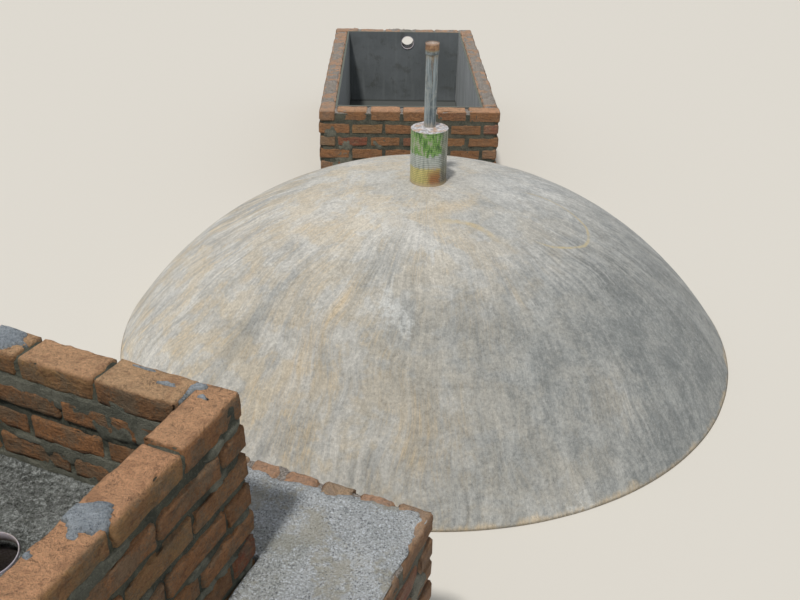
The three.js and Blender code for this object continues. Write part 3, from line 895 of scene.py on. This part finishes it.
def tunnel(number, base, face, hole):
    """The grid's faces with a square hole through its inner and outer faces on the back side, and
    four walls that join the two square edges. hole is left, right, bottom and top."""
    x, y, z = base[0, :, 0], base[..., 1], base[:, 0, 2]
    back = y[0] > y[0].mean() + 0.45 * np.ptp(y[0])
    column = np.flatnonzero(back & (x > hole[0]) & (x < hole[1]))
    inner = np.flatnonzero((face == 0) & (z > hole[2]) & (z < hole[3]))
    outer = np.flatnonzero((face == 2) & (z > hole[2]) & (z < hole[3]))
    first, last = column[0], column[-1]
    solid = np.ones((number.shape[0] - 1, number.shape[1] - 1), bool)
    solid[inner[0]:inner[-1], first:last] = False
    solid[outer[0]:outer[-1], first:last] = False
    faces = grid_faces(number).reshape(*solid.shape, 4)[solid]
    rims = []
    for rows, upwards in ((inner, 1), (outer, -1)):
        block = number[rows[0]:rows[-1] + 1, first:last + 1][::upwards]
        rims.append(np.concatenate([block[0, :-1], block[:-1, -1], block[-1, :0:-1], block[:0:-1, 0]]))
    rim_in, rim_out = rims
    walls = np.stack([rim_in, rim_out, np.roll(rim_out, -1), np.roll(rim_in, -1)], -1)
    return np.concatenate([faces, walls])


def outlet_smear(points, face):
    """Smears on the face where a broad cloud and a fine one agree, and most of the tops of the side
    walls, thinning out towards the front wall."""
    field = cloud(points, 0.11, 41) + 0.5 * rough(points, 0.035, 43)
    on_face = ease(field, 0.42, 0.64)
    side_wall = ease(points[..., 1] - OUTLET_LOW[1], 0.10, 0.25)
    side_wall = side_wall * ease(OUTLET_HIGH[1] - points[..., 1], 0.35, 0.7)
    on_top = ease(field + side_wall - 0.25, 0.0, 0.4)
    return np.where(face == 1, on_top, on_face)


def outlet_pats(points):
    """Rough daubs along the tops, up to 17 mm thick."""
    daub = ease(rough(points, 0.06, 47) + 0.4 * rough(points, 0.02, 49), 0.0, 0.7)
    return 0.017 * daub * ease(points[..., 1] - OUTLET_LOW[1], 0.11, 0.3)


outer_levels = np.append(part_way(OUTLET_HIGH[2] - 0.023, 0.0, 58), 0.0)
hole_levels = outer_levels[np.abs(outer_levels - SLEEVE_Z) < GAP][::-1]
inner_levels = np.concatenate([[0.0, 0.3], hole_levels])
hole = (SLEEVE_X - GAP, SLEEVE_X + GAP, SLEEVE_Z - GAP, SLEEVE_Z + GAP)
outlet_mortar = mortar_skin(
    "outlet_mortar", OUTLET_LOW, OUTLET_HIGH, raked=0.009, proud=0.001, levels=(inner_levels, outer_levels),
    pitch=0.0125, smear=outlet_smear, pats=outlet_pats, dust=(0.05, 0.9), place=same_place, hole=hole)

mortar, tree, shader, where = new_material("raked mortar", 0.95)
sandy = grains(where, 300.0)
damp = torn(where, 13.0, 0.5, 0.15, 0.4)
speck = noise(where, 190.0, 3.0, 0.8)
smeared = mixed(damp, (132, 132, 118), (102, 104, 92))
dusted = mixed(ramp(speck, 0.42, 0.6), (134, 124, 115), (198, 188, 180))
wet = coats(
    (176, 184, 192),
    (damp, (150, 159, 168)),
    (ramp(speck, 0.55, 0.66, 0.0, 0.75), (204, 210, 218)),
    (ramp(speck, 0.45, 0.36, 0.0, 0.7), (92, 98, 104)),
)
dusty = kept("dusty")
colour = coats(
    (100, 101, 86),
    (damp, (70, 74, 64)),
    (ramp(kept("smear"), 0.25, 0.9), smeared),
    (ramp(speck, 0.57, 0.7, 0.0, 0.5), (150, 148, 132)),
    (ramp(speck, 0.43, 0.32, 0.0, 0.6), (46, 48, 42)),
    (dusty, dusted),
    (kept("fresh") * (1.0 - dusty), wet),
    (0.5 * sandy["Pale"], (176, 174, 164)),
    (0.7 * sandy["Pores"], (44, 46, 42)),
)
lumpy = noise(where, 85.0, 4.0, 0.75)
colour = scaled(colour, swing(lumpy, 0.7))
finish_material(colour, sandy["Height"] + speck + 1.6 * lumpy, 0.007)
outlet_mortar.data.materials.append(mortar)
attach(outlet_mortar, "root")
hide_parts(*[f"outlet_{side}_wall" for side in SIDES])


# Outlet tank lining and floor
# Two coats of cement plaster inside the tank, trowelled smooth and still dark, with faint upright
# brush marks and stains. Its top edge is level with the bricks and shows round the mouth of the tank.

dark_plaster, tree, shader, where = new_material("dark trowelled plaster", 0.78)
drawn = noise(squeezed(where, 1, 1, 0.07), 26.0, 4.0, 0.6)
sandy = grains(where, 420.0)
split = add("ShaderNodeSeparateXYZ", {0: where})
left_face, right_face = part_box("outlet_left_lining")[1].x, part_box("outlet_right_lining")[0].x
dry_right = ramp(split[0], right_face - 0.0005, right_face)
dry_left = ramp(split[0], left_face + 0.0005, left_face, 0.0, 0.65)
dry = mixed(ramp(drawn, 0.42, 0.6), (186, 189, 190), (158, 162, 163))
colour = coats(
    (112, 117, 120),
    (torn(where, 2.6, 0.5, 0.16, 0.25), (98, 103, 105)),
    (ramp(drawn, 0.5, 0.68, 0.0, 0.25), (132, 137, 138)),
    (0.4 * torn(where, 10.0, 0.62, 0.06, 0.5), (72, 72, 64)),
    (dry_right + dry_left, dry),
    (ramp(split[2], 0.6795, 0.6810), (104, 108, 100)),
    # painted shade: the floor is darker, for the shadow of the walls that lies on it
    (ramp(split[2], 0.05, 0.035), (84, 87, 85)),
    (0.4 * sandy["Pores"], (56, 58, 56)),
)
finish_material(colour, 0.8 * drawn + 0.3 * sandy["Height"], 0.0025)
for name in ["outlet_floor", *[f"outlet_{side}_lining" for side in SIDES]]:
    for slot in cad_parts[name].material_slots:
        slot.material = dark_plaster


# Overflow sleeve
# A short length of plastic pipe through the far wall near its top, bedded in a collar of mortar.
# The mouth stands a few millimetres out of the plaster, with a softened edge.

def level_ring(outline, spokes):
    """A ring-shaped skin round the sleeve's level axis, from the parts of an outline of radius and y."""
    angle = 2 * np.pi * np.arange(spokes) / spokes
    radius, y = np.concatenate(outline).T[..., None]
    x, z = SLEEVE_X + radius * np.sin(angle), SLEEVE_Z + radius * np.cos(angle)
    return np.stack([x, y + 0 * angle, z], -1)


SLEEVE_RADIUS, SLEEVE_BORE = 0.060, 0.056
reach_in, reach_out = sleeve_low.y, sleeve_high.y
barrel = straight(SLEEVE_RADIUS, reach_out - 0.003, reach_in + 0.003, 24)
mouth = [[0.0592, reach_in + 0.0008], [0.058, reach_in], [0.0568, reach_in + 0.0008]]
throat = straight(SLEEVE_BORE, reach_in + 0.003, reach_out - 0.003, 24)
tail = [[0.0568, reach_out - 0.0008], [0.058, reach_out], [0.0592, reach_out - 0.0008]]
# Painted shade deep in the sleeve's throat, from a few millimetres inside its mouth
soiled = np.concatenate([np.zeros(27), ease(np.arange(24), 0.5, 3.0), ease(np.arange(3), 3, 0)])
sleeve = closed_grid("sleeve", level_ring([barrel, mouth, throat, tail], 64), soiled=soiled[:, None])

plastic, tree, shader, where = new_material("dusty plastic pipe", 0.45)
scratch = noise(squeezed(where, 1, 0.1, 1), 160.0, 4.0)
mud = torn(where, 24.0, 0.56, 0.08, 0.6)
# Painted shadow in the throat, over the real mud patches
shaded_bore = kept("soiled") * ramp(scratch, 0.3, 0.6, 1.0, 0.85)
colour = coats(
    (212, 206, 214),
    (scratch, (186, 178, 192)),
    (0.6 * mud, (150, 138, 120)),
    (shaded_bore, (64, 54, 44)),
)
join(ramp(mud, 0.0, 1.0, 0.38, 0.85), "Roughness")
finish_material(colour, scratch + mud, 0.0003)
sleeve.data.materials.append(plastic)
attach(sleeve, "root")
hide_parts("overflow_sleeve")

# The collar fills the square gap in the bricks: its outer edge swells and shrinks as it goes round
collar_steps = np.array([[0.0603, 0.001], [0.066, 0.003], [0.080, 0.002], [0.092, -0.002], [0.098, -0.010],
                         [0.098, -0.100], [0.090, -0.112], [0.0603, -0.112]]) + [0, OUTLET_HIGH[1]]
collar_points = level_ring([collar_steps], 96)
spread = (collar_points - [SLEEVE_X, 0, SLEEVE_Z]) * [1, 0, 1]
swell = 0.10 * cloud(collar_points, 0.07, 51) * ease(collar_steps[:, 0], 0.064, 0.09)[:, None]
collar_points = collar_points + spread * swell[..., None]
collar_points[1:4, :, 1] += 0.0012 * rough(collar_points[1:4], 0.02, 53)
collar_points[..., 2] = np.minimum(collar_points[..., 2], OUTLET_HIGH[2] + 0.001)
collar = closed_grid("sleeve_collar", collar_points, smear=1.0, fresh=0.0, dusty=0.4)
collar.data.materials.append(mortar)
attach(collar, "root")
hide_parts("outlet_back_wall")


# Inlet tank brickwork
# The same bricks and bond with clean faces and open joints, six courses above the plinth. The bricks
# stand up to three millimetres in and out of line.

INLET_TURN = math.radians(-24)
INLET_CORNER = np.array([-0.558 + DOME_X, -2.552 + DOME_Y])
INLET_LOW = np.array([-1.0, -1.07, 0.0])
INLET_HIGH = np.array([0.0, 0.0, 1.347])
PLINTH_TOP = 0.795
TANK_FLOOR = 0.979


def inlet_place(points):
    """From the inlet tank's own corner and direction to the part: turned about the upright, then moved."""
    cosine, sine = math.cos(INLET_TURN), math.sin(INLET_TURN)
    x = INLET_CORNER[0] + cosine * points[..., 0] - sine * points[..., 1]
    y = INLET_CORNER[1] + sine * points[..., 0] + cosine * points[..., 1]
    return np.stack([x, y, points[..., 2]], -1)


rng = np.random.default_rng(5)
for number, side in enumerate(SIDES):
    wall = side_frame(INLET_LOW, INLET_HIGH, number)
    joint = 0.003 if side in ("right", "left") else 0.006
    backwards = side in ("right", "front")
    laid = brick_side(wall[-1], INLET_HIGH[2], PLINTH_TOP - 0.03, joint, 0.2395, backwards)
    piece = bricks(f"inlet_{side}_bricks", laid, wall, FINE_BLOCK, rng, inlet_place, wear=1.3,
                   stand=(-0.003, 0.003))
    piece.data.materials.append(clay)
    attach(piece, "root")
    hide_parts(f"inlet_{side}_wall")


# Inlet tank mortar
# Green-grey mortar pressed between the courses and left rough. The second course inside is buried
# under smears, and a broad pat of wet mortar lies on the right wall's top.

PATS = [(-0.057, -0.483, 0.056, 0.047, 0.0165), (-0.119, -0.045, 0.008, 0.048, 0.0145),
        (-0.104, -0.022, 0.018, 0.016, 0.0155), (-0.075, -0.060, 0.020, 0.009, 0.0140),
        (-0.69, -0.050, 0.060, 0.045, 0.0175), (-0.190, -0.050, 0.034, 0.008, 0.0140),
        (-0.280, -0.014, 0.045, 0.010, 0.0135), (-0.105, -0.605, 0.018, 0.014, 0.0140)]


def inlet_pats(points):
    """Pats of mortar on the top: for each, height times the S curve of one minus its squared distance."""
    height = np.zeros(points.shape[:-1])
    ragged = 0.8 * rough(points, 0.024, 61)
    for x, y, long, wide, rise in PATS:
        away = ((points[..., 0] - x) / long) ** 2 + ((points[..., 1] - y) / wide) ** 2
        height = np.maximum(height, rise * ease(1.25 - away + ragged, 0.0, 0.5))
    return height


def inlet_smear(points, face):
    """Smears along the level joints outside; inside, most of the second course and the foot of the
    wall as well; none on top."""
    field = cloud(points, 0.10, 63) + 0.55 * rough(points, 0.03, 65)
    off_joint = np.abs((INLET_HIGH[2] - points[..., 2] + 0.054) % COURSE - COURSE / 2)
    field = field + 0.6 * ease(off_joint, 0.024, 0.008)
    second = ease(points[..., 2], 1.175, 1.195) * ease(points[..., 2], 1.285, 1.262)
    foot = ease(points[..., 2], 1.035, 0.99)
    inside = ease(field + 0.9 * second + 0.6 * foot, 0.45, 0.80)
    outside = ease(field, 0.62, 0.92) * ease(points[..., 2], 1.31, 1.27)
    return np.where(face == 1, 0.0, np.where(face == 0, inside, outside))


fine_outer = part_way(INLET_HIGH[2] - 0.023, PLINTH_TOP - 0.02, 66)
fine_inner = part_way(INLET_HIGH[2] - 0.023, TANK_FLOOR - 0.02, 46)[::-1]
inlet_levels = np.append([0.0, 0.5], fine_inner), np.append(fine_outer, [0.4, 0.0])
inlet_mortar = mortar_skin(
    "inlet_mortar", INLET_LOW, INLET_HIGH, raked=0.009, proud=0.002, levels=inlet_levels, pitch=0.0098,
    smear=inlet_smear, pats=inlet_pats, dust=(0.0, 0.0), place=inlet_place)
inlet_mortar.data.materials.append(mortar)
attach(inlet_mortar, "root")
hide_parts(*[f"inlet_{side}_wall" for side in SIDES])


# Inlet tank floor, pipe and bed
# A coarse cement and grit floor, rough from the shovel, round the mouth of the plastic inlet pipe.
# Packed rubble fills the walls below it, round the leaning pipe.

PIPE_AT = np.array([-0.500, -0.414])
PIPE_LEAN = 0.180
PIPE_RADIUS = 0.080
FLOOR_RINGS = 84
room_low = INLET_LOW[:2] + WALL + 0.0003
room_high = INLET_HIGH[:2] - WALL - 0.0003
corner, share = ring_path(room_low, room_high, 0.0085)
outer_edge = ring_points(room_low, room_high, corner, share, 0, 0)[:, :2]
heading = outer_edge - PIPE_AT
heading = heading / np.linalg.norm(heading, axis=-1, keepdims=True)
inner_edge = PIPE_AT + (PIPE_RADIUS + CLEARANCE) * heading
step = np.linspace(0, 1, FLOOR_RINGS)[:, None, None]
flat_floor = inner_edge + (outer_edge - inner_edge) * step
gap_to_pipe = np.linalg.norm(flat_floor - PIPE_AT, axis=-1) - PIPE_RADIUS
floor_top = np.concatenate([flat_floor, np.full_like(flat_floor[..., :1], TANK_FLOOR)], -1)
shovelled = 0.006 * rough(floor_top, 0.11, 71) + 0.0050 * rough(floor_top, 0.026, 75) - 0.002
to_wall = 0.010 * ease(step[..., 0], 0.90, 1.0)
floor_top[..., 2] += (shovelled + to_wall) * ease(gap_to_pipe, 0.0, 0.05)
under = floor_top[[-1, 0]].copy()
under[..., 2] = TANK_FLOOR - 0.049
floor_piece = closed_grid("inlet_tank_floor", inlet_place(np.concatenate([floor_top, under])))

coarse, tree, shader, where = new_material("coarse cement grit", 0.95)
grit = grains(where, 130.0)
sandy = grains(where, 420.0)
broad = torn(where, 7.0, 0.5, 0.15, 0.5)
speck = noise(where, 75.0, 5.0, 0.9)
colour = coats(
    (146, 150, 147),
    (broad, (114, 118, 114)),
    (ramp(speck, 0.52, 0.6, 0.0, 0.95), (216, 221, 220)),
    (ramp(speck, 0.47, 0.39, 0.0, 0.95), (40, 42, 38)),
    (ramp(sandy["Height"], 0.5, 0.75, 0.0, 0.4), (158, 160, 150)),
    (0.6 * grit["Pale"], (188, 188, 178)),
    (0.8 * grit["Pores"], (40, 42, 38)),
)
finish_material(colour, grit["Height"] + 1.6 * speck, 0.011)
floor_piece.data.materials.append(coarse)
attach(floor_piece, "root")
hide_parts("inlet_floor")

# The inlet pipe: a tube whose level rings slide along its lean as they go down
mouth_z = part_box("inlet_pipe")[1].z
lip = [[0.0772, mouth_z - 0.001], [0.0782, mouth_z], [0.0794, mouth_z - 0.0008]]
outer = straight(0.0798, mouth_z - 0.003, 0, 40)
inner = straight(0.076, 0, mouth_z - 0.003, 40)
radius, level = np.concatenate([lip, outer, inner]).T[..., None]
angle = 2 * np.pi * np.arange(96) / 96
x = PIPE_AT[0] + radius * np.cos(angle)
y = PIPE_AT[1] + radius * np.sin(angle) + PIPE_LEAN * (1 - level / TANK_FLOOR)
# Painted shade on the inside of the tube, deepening over the first 2 cm below its mouth
soiled = ease(mouth_z - level, 0.0, 0.02) * (radius < 0.077)
tube = inlet_place(np.stack([x, y, level + 0 * angle], -1))
inlet_pipe = closed_grid("inlet_pipe_tube", tube, soiled=soiled)
inlet_pipe.data.materials.append(plastic)
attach(inlet_pipe, "root")
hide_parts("inlet_pipe")

rubble, tree, shader, where = new_material("packed rubble", 0.97)
stones = add("ShaderNodeTexVoronoi", {"Vector": where, "Scale": 24.0})
sandy = grains(where, 160.0)
colour = coats(
    (152, 132, 104),
    (stones["Color"], (112, 96, 76)),
    (0.6 * sandy["Pores"], (66, 56, 44)),
)
finish_material(colour, sandy["Height"] - stones["Distance"], 0.012)
for name in [*[f"inlet_bed_{side}" for side in SIDES], *[f"plinth_{side}_fill" for side in SIDES]]:
    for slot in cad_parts[name].material_slots:
        slot.material = rubble


# Plinth
# A low brick retaining wall round the inlet tank, half a brick thick, laid rougher than the tanks
# and filled with rubble. Its mortar is smeared over most of the joints.

MARGIN = 0.372
PLINTH_LOW = INLET_LOW - [MARGIN, MARGIN, 0]
PLINTH_HIGH = np.array([MARGIN, MARGIN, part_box("plinth_back_wall")[1].z])
rng = np.random.default_rng(29)
for number, side in enumerate(SIDES):
    wall = side_frame(PLINTH_LOW, PLINTH_HIGH, number)
    backwards = side == "right"
    laid = brick_side(wall[-1], PLINTH_HIGH[2], 0.0, joint=0.007, backwards=backwards)
    header = WALL if side == "back" else None
    edge = brick_side(wall[-1], PLINTH_HIGH[2], PLINTH_HIGH[2] - BRICK_HEIGHT, 0.009, header, backwards)
    for label, chosen, segments, wear in (("edge", edge, EDGE_BLOCK, 2.0),
                                          ("bricks", laid[laid[:, 4] > 0], COARSE_BLOCK, 1.5)):
        piece = bricks(f"plinth_{side}_{label}", chosen, wall, segments, rng, inlet_place, wear,
                       stand=(0.001, 0.006), grime=0.7)
        piece.data.materials.append(clay)
        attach(piece, "root")
        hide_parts(f"plinth_{side}_wall")


def plinth_smear(points, face):
    """Smears over the courses below the first, and none over the brick edge at the top."""
    field = cloud(points, 0.12, 81) + 0.5 * rough(points, 0.035, 83)
    lower = ease(points[..., 2], 0.70, 0.66)
    return np.where(face == 2, ease(field + 0.40 * lower, 0.65, 0.85), ease(field, 0.75, 1.0) * 0.9)


def plinth_pats(points):
    """Screed trodden into the joints of the brick edge, up to 8 mm deep."""
    return 0.008 * ease(rough(points, 0.07, 87), -0.5, 0.2)


outer_levels = np.append(part_way(PLINTH_HIGH[2] - 0.027, 0.0, 60), 0.0)
plinth_mortar = mortar_skin(
    "plinth_mortar", PLINTH_LOW, PLINTH_HIGH, raked=0.012, proud=-0.0006,
    levels=(np.array([0.0, 0.4, 0.7]), outer_levels), pitch=0.0125, smear=plinth_smear,
    pats=plinth_pats, dust=(0.15, 0.9), place=inlet_place)
plinth_mortar.data.materials.append(mortar)
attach(plinth_mortar, "root")
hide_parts(*[f"plinth_{side}_wall" for side in SIDES])


# Plinth screed
# Rough blue-grey sand and cement floated over the fill, smoother beside the tank. It thins out over
# the brick edge in a broken line, and stops short of it along the back.

SCREED_STEPS = 58
corner, share = ring_path(INLET_LOW, INLET_HIGH, 0.0082)
edge_probe = ring_points(PLINTH_LOW, PLINTH_HIGH, corner, share, 0, 0.8)
# How far the screed reaches from the tank on the front, right, back and left, eased at the corners
reach_at = np.interp(corner + share, [0.06, 0.94, 1.06, 1.90, 2.05, 2.25, 2.94, 3.06, 3.94], [
    0.335, 0.340, 0.345, 0.362, 0.355, 0.292, 0.290, 0.330, 0.335], period=4)
reach_at = reach_at + 0.034 * rough(edge_probe, 0.13, 91) + 0.018 * rough(edge_probe, 0.04, 95)
reach_at = np.clip(reach_at, 0.262, MARGIN - 0.012)
step = np.linspace(0, 1, SCREED_STEPS)[:, None]
outset = CLEARANCE + (reach_at - CLEARANCE) * step
screed_top = ring_points(INLET_LOW, INLET_HIGH, corner, share, -outset, PLINTH_TOP)
near_tank = ease(outset, 0.17, 0.05)
bumps = 0.0055 * rough(screed_top, 0.10, 97)
bumps = bumps + (0.0034 - 0.0022 * near_tank) * rough(screed_top, 0.022, 99)
screed_top[..., 2] += bumps - 0.002 - 0.0085 * ease(reach_at - outset, 0.028, 0.0)
under_edge, under_bed, tucked_in = PLINTH_HIGH[2] - 0.004, PLINTH_TOP - 0.0447, 0.2575
under = [ring_points(INLET_LOW, INLET_HIGH, corner, share, -outset, level) for outset, level in (
    (reach_at, under_edge), (tucked_in, under_edge), (tucked_in, under_bed), (CLEARANCE, under_bed))]
smooth = np.concatenate([near_tank, np.zeros((4, len(corner)))])
screed = closed_grid("screed", inlet_place(np.concatenate([screed_top, under])), smooth=smooth)

floated, tree, shader, where = new_material("rough floated screed", 0.94)
grit = grains(where, 175.0)
broad = torn(where, 5.0, 0.5, 0.16, 0.45)
dusty = torn(where, 6.0, 0.56, 0.07, 0.5)
speck = noise(where, 145.0, 4.0, 0.85)
open_grain = ramp(dusty, 0.0, 1.0, 0.95, 0.4)
colour = coats(
    (196, 199, 200),
    (broad, (174, 178, 180)),
    (0.7 * dusty, (172, 166, 148)),
    (ramp(kept("smooth"), 0.2, 0.8, 0.0, 0.5), (158, 160, 152)),
    (ramp(speck, 0.52, 0.61) * open_grain, (228, 234, 242)),
    (ramp(speck, 0.46, 0.38) * open_grain, (84, 88, 96)),
    (0.55 * grit["Pale"], (214, 218, 220)),
    (0.75 * grit["Pores"], (66, 72, 74)),
)
finish_material(colour, grit["Height"] + 0.8 * speck, 0.008)
screed.data.materials.append(floated)
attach(screed, "root")
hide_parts(*[f"plinth_{side}_screed" for side in SIDES])


# Floor, light and camera
# A plain pale floor under the part, one large soft light from high up in front on the left, an even
# light from all round, and the camera at the place and angle that the photograph was taken from.

FLOOR_HALF, FLOOR_LEVEL = 40, -0.002
corners = np.array([[-1, -1, 0], [1, -1, 0], [1, 1, 0], [-1, 1, 0]]) * FLOOR_HALF + [0, 0, FLOOR_LEVEL]
ground = new_piece("studio_floor", corners, np.array([[0, 1, 2, 3]]), {})
pale_floor, tree, shader, where = new_material("pale floor", 0.9)
shader.inputs["Base Color"].default_value = shade(214, 210, 202)
ground.data.materials.append(pale_floor)

LIGHT_BEARING, LIGHT_RISE = 246, 64
lamp = bpy.data.lights.new("key_light", "SUN")
lamp.angle = math.radians(5)
lamp.energy = 2.45
lamp.color = (1.0, 0.97, 0.92)
key_light = bpy.data.objects.new("key_light", lamp)
bpy.context.scene.collection.objects.link(key_light)
key_light.rotation_euler = (math.radians(90 - LIGHT_RISE), 0, math.radians(90 + LIGHT_BEARING))

world = bpy.data.worlds.new("studio")
world.use_nodes = True
world.node_tree.nodes["Background"].inputs["Color"].default_value = (0.93, 0.96, 1.0, 1.0)
world.node_tree.nodes["Background"].inputs["Strength"].default_value = 0.42
bpy.context.scene.world = world
bpy.context.scene.view_settings.view_transform = "Standard"

FOCAL_PIXELS, PHOTO_PIXELS = 871.6, 800
YAW, PITCH, ROLL = math.radians(1.26), math.radians(30.14), math.radians(-1.07)
camera_data = bpy.data.cameras.new("camera")
camera_data.sensor_width = 36
camera_data.lens = FOCAL_PIXELS / PHOTO_PIXELS * 36
camera = bpy.data.objects.new("camera", camera_data)
bpy.context.scene.collection.objects.link(camera)
camera.matrix_world = (Matrix.Translation((DOME_X - 0.227, DOME_Y - 4.246, 2.588))
                       @ Matrix.Rotation(-YAW, 4, "Z") @ Matrix.Rotation(math.pi / 2 - PITCH, 4, "X")
                       @ Matrix.Rotation(-ROLL, 4, "Z"))
bpy.context.scene.camera = camera
